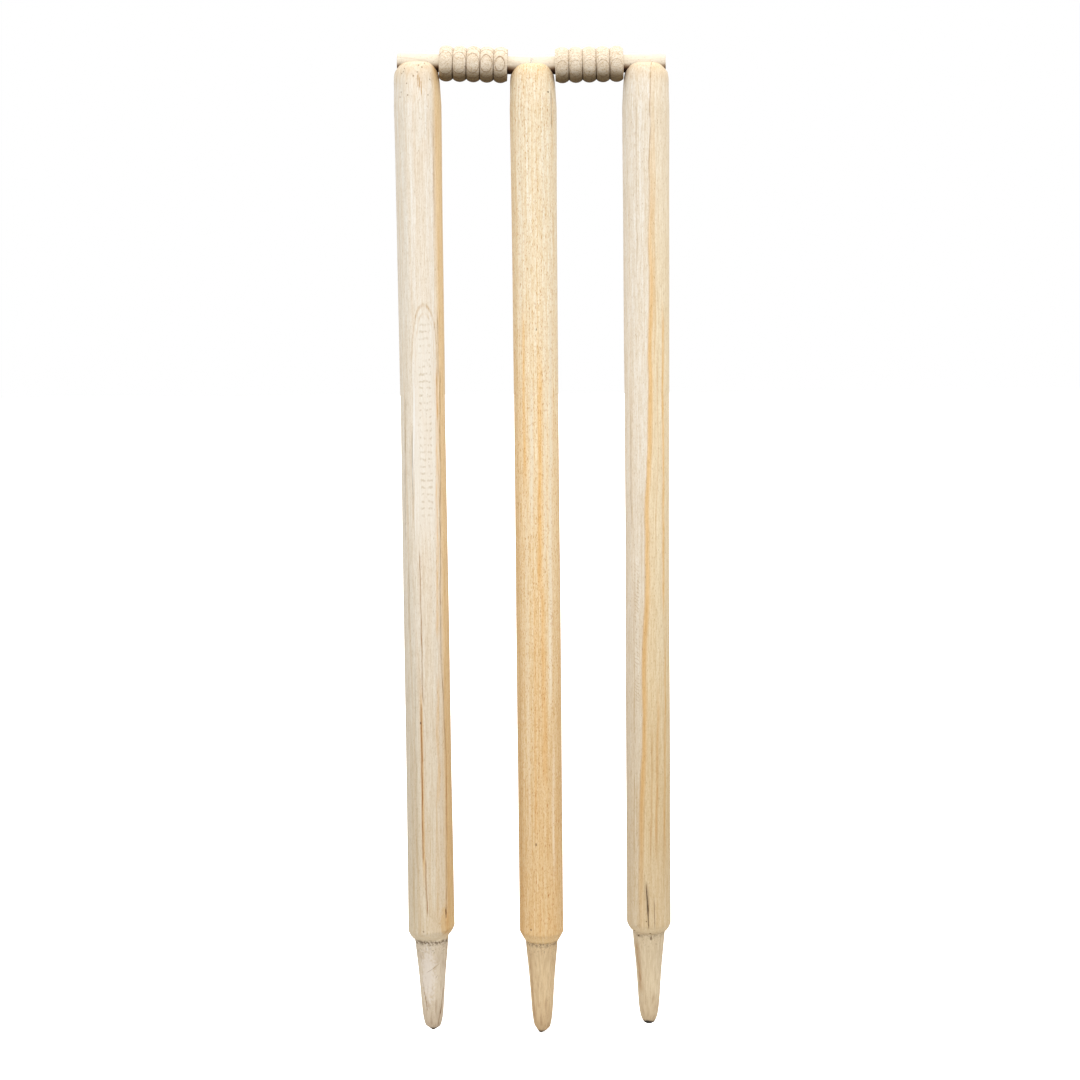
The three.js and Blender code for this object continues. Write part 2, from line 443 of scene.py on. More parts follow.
def add_bail(name, material):
    bail_length = bail_ends(name)[2]
    outline = [
        (0.0, 0.0),
        (SPIGOT_RADIUS - SPIGOT_EDGE, 0.0),
        (SPIGOT_RADIUS, SPIGOT_EDGE),
        (SPIGOT_RADIUS, SHORT_SPIGOT),
        *barrel_outline(bail_length),
        (SPIGOT_RADIUS, bail_length - LONG_SPIGOT),
        (SPIGOT_RADIUS, bail_length - SPIGOT_EDGE),
        (SPIGOT_RADIUS - SPIGOT_EDGE, bail_length),
        (0.0, bail_length),
    ]
    shape = turned(outline, BAIL_SIDES)
    bmesh.ops.transform(shape, verts=shape.verts, matrix=bail_matrix(name))
    new_piece(name + "_turned", shape, name, material, (name,))


# Shader nodes

NOISE_TO_REACH = 4
BACK_LINE = 58
RING_CONTRAST = 0.6


def paint(red, green, blue):
    """A colour as a paint chart gives it, 0 to 255 each, for a shader."""
    levels = [level / 255 for level in (red, green, blue)]
    light = [level / 12.92 if level < 0.04045 else ((level + 0.055) / 1.055) ** 2.4 for level in levels]
    return (*light, 1.0)


def join(tree, socket, value):
    """Links an output to a socket, or sets a plain value on it."""
    if isinstance(value, bpy.types.NodeSocket):
        tree.links.new(value, socket)
    else:
        socket.default_value = value


def place(tree, kind, inputs=(), **settings):
    """A new node with its settings and inputs."""
    node = tree.nodes.new(kind)
    for name, value in settings.items():
        setattr(node, name, value)
    for name, value in dict(inputs).items():
        join(tree, node.inputs[name], value)
    return node


def xyz(tree, vector):
    """The three parts of a vector."""
    return place(tree, "ShaderNodeSeparateXYZ", {"Vector": vector}).outputs


def calc(tree, operation, *values):
    """A Math node's result."""
    node = place(tree, "ShaderNodeMath", operation=operation)
    for socket, value in zip(node.inputs, values):
        join(tree, socket, value)
    return node.outputs[0]


def product(tree, first, *others):
    """Masks or measures multiplied together."""
    for other in others:
        first = calc(tree, "MULTIPLY", first, other)
    return first


def apart(tree, one, other):
    """The gap between two values."""
    return calc(tree, "ABSOLUTE", calc(tree, "SUBTRACT", one, other))


def past(tree, value, start, span):
    """How far a value is past the start, in spans."""
    return calc(tree, "DIVIDE", calc(tree, "SUBTRACT", value, start), span)


def reach_of(tree, side, rise):
    """How far a point is from the middle, given how far it is to the side and up."""
    squares = [calc(tree, "POWER", value, 2) for value in (side, rise)]
    return calc(tree, "SQRT", calc(tree, "ADD", *squares))


def eased_step(tree, value, low, high):
    """From 0 at low to 1 at high, smoothly, and the other way round where low is above high."""
    node = place(tree, "ShaderNodeMapRange", interpolation_type="SMOOTHSTEP")
    for name, given in (("Value", value), ("From Min", low), ("From Max", high)):
        join(tree, node.inputs[name], given)
    return node.outputs[0]


def within(tree, value, low, high, fade):
    """1 between low and high, falling to 0 over the fade inside each end."""
    rise = eased_step(tree, value, low, calc(tree, "ADD", low, fade))
    fall = eased_step(tree, value, high, calc(tree, "SUBTRACT", high, fade))
    return product(tree, rise, fall)


def stretched(tree, point, across, along):
    """The point measured in steps that are longer along the grain than across it."""
    sizes = (across, across, along)
    scaled = [calc(tree, "DIVIDE", part, size) for part, size in zip(xyz(tree, point), sizes)]
    return place(tree, "ShaderNodeCombineXYZ", dict(zip("XYZ", scaled))).outputs[0]


def clouds(tree, point, across, along, detail, roughness=0.5):
    """Soft noise about 0.5, drawn out along the grain."""
    return place(tree, "ShaderNodeTexNoise", {
        "Vector": stretched(tree, point, across, along), "Scale": 1, "Detail": detail, "Roughness": roughness,
    }).outputs["Fac"]


def strayed(tree, soft_noise, reach):
    """A shift to either side that mostly keeps within the reach."""
    return product(tree, calc(tree, "SUBTRACT", soft_noise, 0.5), product(tree, reach, NOISE_TO_REACH))


def effect(name, inputs, outputs):
    """A new node group's tree, with the sockets of its inputs to read from and of its outputs to join to."""
    tree = bpy.data.node_groups.new(name, "ShaderNodeTree")
    for label, value in inputs.items():
        kind = "NodeSocketVector" if isinstance(value, tuple) else "NodeSocketFloat"
        tree.interface.new_socket(name=label, in_out="INPUT", socket_type=kind).default_value = value
    for label in outputs:
        tree.interface.new_socket(name=label, in_out="OUTPUT", socket_type="NodeSocketFloat")
    return tree, tree.nodes.new("NodeGroupInput").outputs, tree.nodes.new("NodeGroupOutput").inputs


# Effects of turned wood, in millimetres, with the grain along Z and the front facing -Y

ON_PIECE = {"Point": (0, 0, 0), "Across": 0.0, "Height": 0.0, "Place": 0.0}
LATE_WOOD_RISE = 2.5
LATE_WOOD_END = 0.93
RUNG_SWAY = 4
RUNG_FADE = 20
ARCH_WANDER = 1.25
ARCH_FADE = 60
SOIL_RAREST = 0.72
SOIL_SOFTNESS = 0.08


def build_surface_place():
    """Where a point lies on a turned piece: round from its front line, up it, and out from its axis."""
    tree, given, made = effect("surface_place", {"Point": (0, 0, 0)}, ["Across", "Height", "Girth"])
    parts = xyz(tree, given["Point"])
    angle = calc(tree, "ARCTAN2", parts["X"], calc(tree, "MULTIPLY", parts["Y"], -1))
    girth = reach_of(tree, parts["X"], parts["Y"])
    join(tree, made["Across"], product(tree, angle, girth))
    join(tree, made["Height"], parts["Z"])
    join(tree, made["Girth"], girth)
    return tree


def build_growth_rings():
    """Wavy rings round a pith that may lie off the axis and lean, each darkening towards its late wood."""
    tree, given, made = effect("growth_rings", {
        "Point": (0, 0, 0), "Pith Side": 0.0, "Pith Back": 60.0, "Lean Side": 0.0, "Lean Back": 0.0,
        "Ring Width": 3.0, "Waviness": 1.0}, ["Late Wood", "Ring Tone"])
    parts = xyz(tree, given["Point"])
    offsets = []
    for part, pith, lean in (("X", "Pith Side", "Lean Side"), ("Y", "Pith Back", "Lean Back")):
        axis = calc(tree, "MULTIPLY_ADD", parts["Z"], given[lean], given[pith])
        offsets.append(calc(tree, "SUBTRACT", parts[part], axis))
    wave = clouds(tree, given["Point"], across=14, along=160, detail=2)
    reach = calc(tree, "ADD", reach_of(tree, *offsets), strayed(tree, wave, given["Waviness"]))
    rings = calc(tree, "DIVIDE", reach, given["Ring Width"])
    growth = calc(tree, "FRACT", rings)
    rise = calc(tree, "POWER", growth, LATE_WOOD_RISE)
    late = product(tree, rise, eased_step(tree, growth, 1.0, LATE_WOOD_END))
    tone = place(tree, "ShaderNodeTexWhiteNoise", {"W": calc(tree, "FLOOR", rings)}, noise_dimensions="1D")
    join(tree, made["Late Wood"], late)
    join(tree, made["Ring Tone"], tone.outputs["Value"])
    return tree


def build_fibres():
    """Fibres along the grain, which serve for bands, lines, dashes and flecks."""
    tree, given, made = effect("fibres", {
        "Point": (0, 0, 0), "Width": 1.0, "Length": 60.0, "Detail": 3.0}, ["Fibre"])
    grain = clouds(tree, given["Point"], given["Width"], given["Length"], given["Detail"], roughness=0.6)
    join(tree, made["Fibre"], eased_step(tree, grain, low=0.3, high=0.7))
    return tree


def build_pores():
    """Short dashes along the grain, of which only a share is kept."""
    tree, given, made = effect("pores", {
        "Point": (0, 0, 0), "Spacing": 1.1, "Length": 9.0, "Size": 0.2, "Share": 0.5}, ["Pore"])
    cells = place(tree, "ShaderNodeTexVoronoi", {
        "Vector": stretched(tree, given["Point"], given["Spacing"], given["Length"]), "Scale": 1}).outputs
    dash = eased_step(tree, cells["Distance"], given["Size"], product(tree, given["Size"], 0.5))
    draw = place(tree, "ShaderNodeSeparateColor", {"Color": cells["Color"]}).outputs[0]
    join(tree, made["Pore"], product(tree, dash, calc(tree, "LESS_THAN", draw, given["Share"])))
    return tree


def build_streak():
    """A line along the grain that leans, wanders, fades at its ends and is broken up."""
    tree, given, made = effect("streak", {
        **ON_PIECE, "Lean": 0.0, "Wander": 1.0, "Bend": 60.0, "Half Width": 1.0, "Low": 0.0, "High": 100.0,
        "Fade": 10.0, "Broken": 0.3}, ["Mask"])
    middle = product(tree, calc(tree, "ADD", given["Low"], given["High"]), 0.5)
    rise = calc(tree, "SUBTRACT", given["Height"], middle)
    bend = place(tree, "ShaderNodeTexNoise", {
        "W": calc(tree, "ADD", calc(tree, "DIVIDE", given["Height"], given["Bend"]), given["Place"]),
        "Scale": 1, "Detail": 1}, noise_dimensions="1D").outputs["Fac"]
    foot = calc(tree, "ADD", given["Place"], strayed(tree, bend, given["Wander"]))
    line = calc(tree, "MULTIPLY_ADD", rise, given["Lean"], foot)
    bell = eased_step(tree, apart(tree, given["Across"], line), given["Half Width"], 0)
    ends = within(tree, given["Height"], given["Low"], given["High"], given["Fade"])
    grain = clouds(tree, given["Point"], across=0.9, along=16, detail=2)
    missing = product(tree, given["Broken"], eased_step(tree, grain, low=0.6, high=0.4))
    join(tree, made["Mask"], product(tree, bell, ends, calc(tree, "SUBTRACT", 1, missing)))
    return tree


def build_spot():
    """An oval patch with a ragged edge."""
    tree, given, made = effect("spot", {
        **ON_PIECE, "Level": 0.0, "Half Width": 1.0, "Half Height": 1.0, "Ragged": 0.3}, ["Mask"])
    side = past(tree, given["Across"], given["Place"], given["Half Width"])
    rise = past(tree, given["Height"], given["Level"], given["Half Height"])
    edge = clouds(tree, given["Point"], across=1.6, along=2.6, detail=2)
    torn = calc(tree, "ADD", strayed(tree, edge, given["Ragged"]), reach_of(tree, side, rise))
    join(tree, made["Mask"], eased_step(tree, torn, low=1.0, high=0.45))
    return tree


def build_ladder():
    """Patches of cross marks, one above another, in one column or in two with twice the spread between."""
    tree, given, made = effect("ladder", {
        **ON_PIECE, "Spread": 0.0, "Half Width": 4.0, "Low": 0.0, "High": 100.0, "Step": 3.0, "Slant": 0.0,
    }, ["Mask"])
    sway = clouds(tree, given["Point"], across=3, along=7, detail=1)
    swayed = calc(tree, "MULTIPLY_ADD", sway, RUNG_SWAY, given["Height"])
    slanted = calc(tree, "MULTIPLY_ADD", given["Across"], given["Slant"], swayed)
    beat = calc(tree, "PINGPONG", calc(tree, "DIVIDE", slanted, given["Step"]), 0.5)
    rungs = eased_step(tree, beat, low=0.26, high=0.46)
    off = apart(tree, apart(tree, given["Across"], given["Place"]), given["Spread"])
    column = eased_step(tree, off, given["Half Width"], product(tree, given["Half Width"], 0.5))
    ends = within(tree, given["Height"], given["Low"], given["High"], RUNG_FADE)
    patch = clouds(tree, given["Point"], across=2.2, along=14, detail=1)
    shown = eased_step(tree, patch, low=0.38, high=0.6)
    join(tree, made["Mask"], product(tree, rungs, column, ends, shown))
    return tree


def build_arch():
    """The long arch that flat sawing leaves: its line, and the wood inside it."""
    tree, given, made = effect("arch", {
        **ON_PIECE, "Apex": 100.0, "Half Width": 10.0, "Rounding": 6.0, "Low": 0.0, "Line": 0.2,
    }, ["Line Mask", "Inside"])
    wave = clouds(tree, given["Point"], across=10, along=45, detail=2)
    middle = calc(tree, "ADD", strayed(tree, wave, ARCH_WANDER), given["Place"])
    side = past(tree, given["Across"], middle, given["Half Width"])
    rise = past(tree, given["Height"], given["Apex"], given["Rounding"])
    figure = calc(tree, "ADD", calc(tree, "POWER", side, 2), calc(tree, "POWER", math.e, rise))
    line = eased_step(tree, apart(tree, figure, 1), given["Line"], 0)
    ends = eased_step(tree, given["Height"], given["Low"], calc(tree, "ADD", given["Low"], ARCH_FADE))
    join(tree, made["Line Mask"], product(tree, line, ends))
    join(tree, made["Inside"], product(tree, eased_step(tree, figure, low=1.0, high=0.7), ends))
    return tree


def build_soil():
    """Clumps of soil that thin out towards both ends of a band."""
    tree, given, made = effect("soil", {
        "Point": (0, 0, 0), "Height": 0.0, "Low": 0.0, "High": 5.0, "Grain": 1.0, "Share": 0.3}, ["Mask"])
    clumps = clouds(tree, given["Point"], given["Grain"], given["Grain"], detail=3, roughness=0.65)
    level = calc(tree, "SUBTRACT", SOIL_RAREST, product(tree, given["Share"], 0.5))
    thick = eased_step(tree, clumps, level, calc(tree, "ADD", level, SOIL_SOFTNESS))
    fade = product(tree, calc(tree, "SUBTRACT", given["High"], given["Low"]), 0.5)
    band = within(tree, given["Height"], given["Low"], given["High"], fade)
    join(tree, made["Mask"], product(tree, thick, band))
    return tree


def build_lathe_marks():
    """Fine rings that the turning tool leaves round the piece."""
    tree, given, made = effect("lathe_marks", {"Point": (0, 0, 0), "Spacing": 0.5}, ["Mark"])
    join(tree, made["Mark"], clouds(tree, given["Point"], across=40, along=given["Spacing"], detail=2))
    return tree


SURFACE_PLACE = build_surface_place()
GROWTH_RINGS = build_growth_rings()
FIBRES = build_fibres()
PORES = build_pores()
STREAK = build_streak()
SPOT = build_spot()
LADDER = build_ladder()
ARCH = build_arch()
SOIL = build_soil()
LATHE_MARKS = build_lathe_marks()


class Wood:
    """The wood of one piece: colours laid over each other, and relief under the finish."""

    def __init__(self, name, to_wood):
        """to_wood takes a point of the frame to the wood's own place, with its grain along Z, in metres."""
        self.material = bpy.data.materials.new(name)
        self.material.use_nodes = True
        self.tree = self.material.node_tree
        coordinates = place(self.tree, "ShaderNodeTexCoord").outputs["Object"]
        point = place(self.tree, "ShaderNodeMapping", {
            "Vector": coordinates, "Location": to_wood.to_translation() * TO_MM,
            "Rotation": to_wood.to_euler("XYZ"), "Scale": (TO_MM, TO_MM, TO_MM)}).outputs[0]
        self.given = {"Point": point}
        spot = self.use(SURFACE_PLACE)
        self.given.update({label: spot[label] for label in ("Across", "Height", "Girth")})
        self.colour = None
        self.relief = 0.0

    def use(self, group, **values):
        """Places an effect with its own values, joined to the point that it is worked out for."""
        node = place(self.tree, "ShaderNodeGroup", node_tree=group)
        inputs = {word.replace("_", " ").title(): value for word, value in values.items()}
        for socket in node.inputs:
            if socket.name in inputs or socket.name in self.given:
                join(self.tree, socket, inputs.get(socket.name, self.given.get(socket.name)))
        return node.outputs

    def calc(self, operation, *values):
        return calc(self.tree, operation, *values)

    def part(self, *masks):
        """Masks, or a mask and a share of it, multiplied together."""
        return product(self.tree, *masks)

    def ease(self, value, low, high):
        return eased_step(self.tree, value, low, high)

    def step(self, label, low, high):
        """A mask from 0 at low to 1 at high of the height, across or girth."""
        return self.ease(self.given[label], low, high)

    def between(self, label, low, high, fade):
        """A mask between low and high of the height, across or girth, with a fade at both ends."""
        return within(self.tree, self.given[label], low, high, fade)

    def round_to_back(self, start, fade):
        """A mask over one side, from start round to just short of the back line."""
        low, high = (start, BACK_LINE) if start > 0 else (-BACK_LINE, start)
        return self.between("Across", low, high, fade)

    def fibres(self, width, length, detail=3.0):
        return self.use(FIBRES, width=width, length=length, detail=detail)["Fibre"]

    def lay(self, colour, mask, amount=1.0, blend="MIX"):
        """Lays a colour over what is there, as far as the mask shows."""
        mixed = place(self.tree, "ShaderNodeMix", data_type="RGBA", blend_type=blend)
        join(self.tree, mixed.inputs[0], self.part(mask, amount))
        join(self.tree, mixed.inputs[6], self.colour)
        join(self.tree, mixed.inputs[7], colour)
        self.colour = mixed.outputs[2]

    def darken(self, colour, mask, amount=1.0):
        """Darkens what is there towards a colour, for a mark that the wood has or for painted shade."""
        self.lay(colour, mask, amount, "MULTIPLY")

    def rings(self, tone, amount, faintest, **shape):
        """Stains growth rings, each to its own strength."""
        rings = self.use(GROWTH_RINGS, **shape)
        strength = self.calc("MULTIPLY_ADD", rings["Ring Tone"], RING_CONTRAST, faintest)
        self.darken(tone, self.part(rings["Late Wood"], strength), amount)

    def streak(self, tone, side, low, high, lean, half_width, amount, blend="MULTIPLY", **shape):
        """A line along the grain from low to high, a given way across from the front line."""
        mask = self.use(STREAK, place=side, low=low, high=high, lean=lean, half_width=half_width,
                        **shape)["Mask"]
        self.lay(tone, mask, amount, blend)

    def spot(self, tone, side, level, half_width, half_height, amount, blend="MULTIPLY", ragged=0.3):
        """A patch at a level, a given way across from the front line."""
        mask = self.use(SPOT, place=side, level=level, half_width=half_width, half_height=half_height,
                        ragged=ragged)["Mask"]
        self.lay(tone, mask, amount, blend)

    def pores(self, tone, spacing, length, size, share, amount):
        """Stains the open pores, and tells where they are."""
        pore = self.use(PORES, spacing=spacing, length=length, size=size, share=share)["Pore"]
        self.darken(tone, pore, amount)
        return pore

    def raise_by(self, mask, height):
        """Adds relief, in millimetres, where the mask shows."""
        self.relief = self.calc("MULTIPLY_ADD", mask, height, self.relief)

    def finish(self, roughness, roughened, rougher, sheen):
        """Joins the colour, the relief and a roughness that rises where the mask shows."""
        shader = self.tree.nodes["Principled BSDF"]
        join(self.tree, shader.inputs["Base Color"], self.colour)
        join(self.tree, shader.inputs["Roughness"], self.calc("MULTIPLY_ADD", roughened, rougher, roughness))
        shader.inputs["Specular IOR Level"].default_value = sheen
        bump = place(self.tree, "ShaderNodeBump", {"Height": self.relief, "Distance": MM, "Strength": 1.0})
        join(self.tree, shader.inputs["Normal"], bump.outputs[0])
        return self.material


# Woods, in millimetres. Heights are from the ground line on a stump, and from the inner end on a bail.

BARREL_ENDS = (20.2, 74.4)
VALLEY_GIRTH = (12.9, 12.1)
SPIGOT_GIRTH = (8.2, 7.6)


def stump_wood(name, foot_tone, top_tone):
    """The start of a stump's wood, pale at the top and deeper towards the foot: partly its own tone and
    partly painted light falling off down the stump.
    """
    wood = Wood(name + "_wood", Matrix.Translation((-axis_of(name), 0, 0)))
    wood.colour = foot_tone
    # Painted light in part: the top laid paler than the foot, as light falling off down the stump would make
    # it
    wood.lay(top_tone, wood.step("Height", -50, 500))
    # Painted shade on the crown's top, laid a little darker to hold down the strong light from above
    wood.darken(paint(241, 232, 218), wood.step("Height", 720, 744))
    return wood


def spike_levels(name):
    """Heights of the neck under a stump's shoulder and of its spike's tip."""
    tip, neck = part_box(name + "_spike")
    return neck.z * TO_MM, tip.z * TO_MM


def add_grain(wood, tone, line_tone, fleck_tone, fleck_amount):
    """Broad soft bands, fine lines along the grain, and two sizes of fleck."""
    wood.darken(tone, wood.fibres(width=6, length=320, detail=2.0), 0.5)
    wood.darken(line_tone, wood.fibres(width=0.9, length=40), 0.6)
    dashes = wood.fibres(width=0.9, length=7, detail=2.0)
    wood.darken(fleck_tone, wood.ease(dashes, 0.35, 0.95), fleck_amount)
    flecks = wood.fibres(width=0.7, length=1.8, detail=2.0)
    wood.darken(fleck_tone, wood.ease(flecks, 0.4, 1.0), fleck_amount)


def turned_finish(wood, pore):
    """Fine grain, lathe marks and pores in relief, as sanded and unvarnished wood has them."""
    fine = wood.fibres(width=0.35, length=22, detail=2.0)
    wood.raise_by(fine, height=0.05)
    wood.raise_by(wood.use(LATHE_MARKS, spacing=0.7)["Mark"], height=0.05)
    wood.raise_by(pore, height=-0.09)
    return wood.finish(roughness=0.6, roughened=fine, rougher=0.14, sheen=0.28)


def soiled_spike(wood, neck, tip, tone, dirt, soil_amount):
    """A spike that has been in the ground: dull and streaked, with soil under the shoulder and at its end."""
    below = wood.step("Height", neck + 0.6, neck - 0.6)
    wood.lay(tone, below, 0.75)
    wood.darken(dirt, wood.part(wood.fibres(width=1.4, length=26), below), 0.25)
    blots = wood.ease(wood.fibres(width=2.6, length=14, detail=4.0), 0.6, 1.0)
    wood.darken(dirt, wood.part(blots, below), 0.22)
    wood.darken(dirt, wood.step("Height", neck - 45, neck - 75), 0.25)
    for low, high, grain, share, amount in (
        (neck - 5, neck + 2.5, 2.3, 0.52, soil_amount),
        (neck - 14, neck, 1.7, 0.34, soil_amount * 0.8),
        (tip - 3, neck - 8, 1.0, 0.2, 0.4),
    ):
        soil = wood.use(SOIL, low=low, high=high, grain=grain, share=share)["Mask"]
        wood.lay(paint(84, 66, 42), soil, amount)
    wood.lay(paint(60, 46, 30), wood.step("Height", tip + 4.2, tip + 1.6), 0.9)


def painted_shoulder_light(wood, neck, tone):
    """Painted light on the shoulder's turned edge: a paler band over the chamfer, to lift the shade that it
    takes.
    """
    edge = wood.part(wood.step("Height", neck, neck + 1.5), wood.step("Height", neck + 9, neck + 4))
    wood.lay(tone, edge, 0.45)


def add_left_arch(wood):
    """The arch on the front, a fainter one inside it, cross marks within, and a pale streak beside them."""
    arch = wood.use(ARCH, place=3.2, apex=548, half_width=11.6, rounding=24, low=330, line=0.12)
    inner = wood.use(ARCH, place=3.6, apex=541, half_width=8.5, rounding=20, low=430, line=0.12)
    fray = wood.fibres(width=0.9, length=14)
    wood.lay(paint(233, 226, 214), arch["Inside"], 0.5)
    wood.darken(paint(216, 188, 146), wood.part(arch["Line Mask"], fray), 0.9)
    wood.darken(paint(228, 206, 172), wood.part(inner["Line Mask"], fray), 0.7)
    ladder = wood.use(LADDER, place=3.4, spread=2.6, half_width=3.3, low=360, high=545, step=5.9)["Mask"]
    wood.darken(paint(206, 190, 160), ladder, 0.45)
    wood.streak(paint(240, 238, 234), -7.2, 380, 500, 0.03, 1.6, 0.7, blend="MIX", wander=0.4, fade=40,
                broken=0.1)


def add_left_streaks(wood):
    """The brown line that wanders down the right side, the finer one on the front, and their neighbours."""
    for row in (
        (paint(162, 124, 78), 15.9, 480, 545, 0.006, 1.0, 0.7),
        (paint(154, 118, 72), 16.6, 345, 500, 0.02, 1.0, 0.72),
        (paint(164, 124, 76), 14.4, 250, 360, 0.016, 1.1, 0.66),
        (paint(162, 120, 72), 15.6, 160, 266, -0.04, 1.2, 0.68),
        (paint(176, 130, 78), 16.8, 20, 180, 0.018, 1.3, 0.6),
        (paint(196, 156, 100), 14.4, 600, 712, 0.004, 1.2, 0.55),
        (paint(250, 220, 172), 12.4, 262, 500, 0.016, 2.4, 0.8),
        (paint(150, 126, 92), -8.7, 380, 450, 0.014, 0.8, 0.7),
        (paint(180, 162, 134), -15.0, 262, 338, 0.02, 1.1, 0.65),
        (paint(184, 168, 144), -17.2, 345, 475, 0.03, 1.3, 0.7),
        (paint(216, 200, 172), -10.2, 60, 250, 0.004, 1.4, 0.45),
        (paint(226, 210, 182), -15.2, 20, 200, 0.0, 1.8, 0.45),
        (paint(246, 216, 168), 9.6, 120, 240, 0.01, 2.6, 0.7),
        (paint(236, 208, 164), 6.8, 20, 140, 0.01, 1.6, 0.5),
    ):
        wood.streak(*row, wander=0.5, bend=38, fade=16, broken=0.6)
    for row in (
        (-3.3, 210, 345, -0.006, 0.9, 0.9), (-4.9, 72, 215, 0.004, 1.0, 1.0), (-2.6, 24, 80, -0.02, 0.9, 0.9),
    ):
        wood.streak(paint(182, 140, 92), *row, wander=0.35, bend=26, fade=9, broken=0.45)
    wood.streak(paint(246, 214, 160), -4.6, 40, 240, 0.0, 2.4, 0.8, wander=0.3, fade=40, broken=0.1)


def add_left_marks(wood):
    """Nicks, a yellow patch at the foot, and the streaks and specks on the head."""
    for row in ((14.7, 29, 0.8, 6.5, 0.85), (-5.2, 195.6, 0.9, 1.5, 0.8), (-6.0, 13.0, 0.8, 1.0, 0.6)):
        wood.spot(paint(112, 82, 48), *row)
    wood.spot(paint(246, 216, 160), 13.2, 20, 5.5, 20, 0.6, ragged=0.15)
    for side, level, half_height in ((1.6, 731, 8), (4.4, 724, 9), (3.0, 728, 6)):
        wood.spot(paint(212, 182, 140), side, level, 0.7, half_height, 0.85)
    for side, level in (
        (2, 742.5), (-10, 740), (-11, 737.5), (-2, 734), (-7, 718.6), (10, 718.5), (-15, 717), (-13.5, 721),
        (5, 741), (-13, 736), (7, 744), (1, 737), (-8, 728), (12, 731),
    ):
        wood.spot(paint(150, 122, 88), side, level, 0.8, 0.9, 0.65)


def left_stump_wood():
    """Pale cream, flat-sawn at the front."""
    neck, tip = spike_levels("left_stump")
    wood = stump_wood("left_stump", paint(203, 192, 172), paint(240, 235, 226))
    wood.rings(paint(240, 218, 186), 0.6, faintest=0.3, pith_side=-12.0, pith_back=70.0, lean_back=0.012,
               ring_width=3.4, waviness=1.2)
    add_grain(wood, paint(250, 243, 232), paint(234, 222, 204), paint(228, 216, 196), 0.3)
    wood.darken(paint(244, 244, 242), wood.round_to_back(-5, 7), 0.8)
    add_left_arch(wood)
    wood.darken(paint(252, 233, 198), wood.round_to_back(12, 6.5))
    add_left_streaks(wood)
    add_left_marks(wood)
    pore = wood.pores(paint(196, 172, 136), spacing=1.3, length=6, size=0.19, share=0.4, amount=0.55)
    painted_shoulder_light(wood, neck, paint(222, 206, 176))
    soiled_spike(wood, neck, tip, paint(198, 186, 167), paint(160, 126, 86), soil_amount=0.85)
    wood.spot(paint(203, 194, 184), -3.0, -28, 8, 30, 0.7, blend="MIX", ragged=0.5)
    for row in (
        (1.5, -27, -17, 1.45, 0.9), (4.5, -32, -27, 0.6, 0.8), (-6.5, -62, -34, -0.16, 0.9),
        (9.5, -66, -40, 0.2, 1.2), (7.2, -76, -54, 0.25, 1.0),
    ):
        wood.streak(paint(160, 128, 88), *row, amount=0.8, wander=0.3, bend=9, fade=3, broken=0.5)
    return turned_finish(wood, pore)


def add_middle_bands(wood):
    """Broad straight bands along the front, some paler than the rest and some more yellow."""
    for row in (
        (-4.0, 340, 500, 0.01, 2.6, 0.9), (12.2, 190, 560, 0.011, 3.0, 0.9), (7.6, 300, 540, 0.012, 2.0, 0.5),
        (-9.5, 60, 400, 0.0, 2.0, 0.35), (12.5, 40, 200, 0.01, 2.6, 0.5),
    ):
        wood.streak(paint(231, 218, 194), *row, blend="MIX", wander=0.5, fade=50)
    for row in (
        (2.8, 290, 520, 0.01, 2.8, 0.8), (-10.5, 380, 560, 0.004, 2.6, 0.7),
        (4.5, 120, 330, -0.004, 3.0, 0.5), (-3.0, 80, 330, 0.006, 2.2, 0.4),
    ):
        wood.streak(paint(252, 222, 164), *row, wander=0.5, fade=40)


def middle_stump_wood():
    """Yellow-orange, quarter-sawn: straight close grain, full of open pores."""
    neck, tip = spike_levels("middle_stump")
    wood = stump_wood("middle_stump", paint(211, 196, 168), paint(244, 239, 224))
    # Darker from 640 mm down to 360 mm and below: partly the wood's own tone and partly painted light falling
    # off down the stump
    wood.darken(paint(255, 244, 226), wood.step("Height", 640, 360), 0.9)
    wood.rings(paint(240, 212, 160), 0.6, faintest=0.35, pith_side=-75.0, pith_back=12.0, lean_side=0.006,
               ring_width=3.1, waviness=0.8)
    add_grain(wood, paint(253, 240, 218), paint(236, 218, 188), paint(230, 206, 160), 0.38)
    add_middle_bands(wood)
    wood.darken(paint(238, 226, 204), wood.round_to_back(-14, 6), 0.6)
    wood.streak(paint(150, 112, 66), 17.2, 688, 724, 0.0, 1.1, 0.7, wander=0.3, fade=6, broken=0.4)
    for row in ((1.0, 3, 0.3, 0.7, 0.6), (1.3, 6, 0.26, 0.6, 0.7), (2.0, 14, 0.17, 0.5, 0.8)):
        pore = wood.pores(paint(212, 162, 96), *row)
    for row in ((13.6, 720, 1.4, 0.8), (-3.7, 89, 0.8, 1.8), (-9.1, 13.5, 0.8, 1.4), (1.0, 527, 0.6, 1.6)):
        wood.spot(paint(110, 82, 50), *row, amount=0.8)
    painted_shoulder_light(wood, neck, paint(226, 198, 150))
    soiled_spike(wood, neck, tip, paint(200, 180, 146), paint(156, 118, 74), soil_amount=0.6)
    wood.streak(paint(176, 138, 92), -9.5, -78, -6, -0.07, 2.2, 0.6, wander=0.6, fade=14, broken=0.5)
    return turned_finish(wood, pore)


